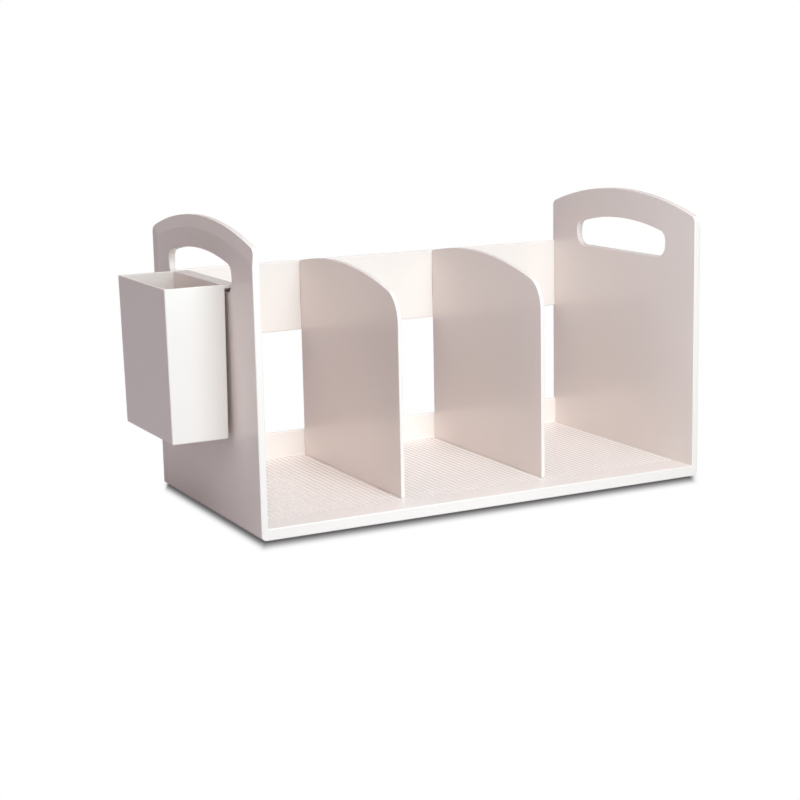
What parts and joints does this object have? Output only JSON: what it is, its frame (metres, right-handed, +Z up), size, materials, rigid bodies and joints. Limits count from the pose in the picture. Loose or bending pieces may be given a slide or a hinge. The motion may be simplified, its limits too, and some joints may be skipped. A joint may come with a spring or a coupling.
{
  "type": "bookend organizer",
  "caption": "Desktop bookend organizer in warm white plastic: ribbed tray, arched side panels with hand slots, dividers, open back and a hooked-on pen holder.",
  "frame": {"origin": "middle of the underside of the whole part, on the desk under the rubber feet", "axes": "+X along the rack towards the side panel without the pen holder, +Y from the open front to the back rail, +Z up"},
  "size_m": [0.3941, 0.192, 0.2076],
  "materials": {
    "white_abs": "smooth, half gloss, warm white",
    "foot_rubber": "matte dark grey"
  },
  "bodies": {
    "rack_body": {"base_tray": "white_abs", "left_side_panel": "white_abs", "right_side_panel": "white_abs", "left_divider": "white_abs", "right_divider": "white_abs", "back_rail": "white_abs", "foot_front_left": "foot_rubber", "foot_rear_left": "foot_rubber", "foot_front_right": "foot_rubber", "foot_rear_right": "foot_rubber"},
    "pen_holder_body": {"pen_holder": "white_abs"}
  },
  "joints": [
    {"name": "pen_holder_lift", "type": "slide", "parent": "rack_body", "child": "pen_holder_body", "axis": [0, 0, 1], "range_m": [0, 0.008]}
  ]
}
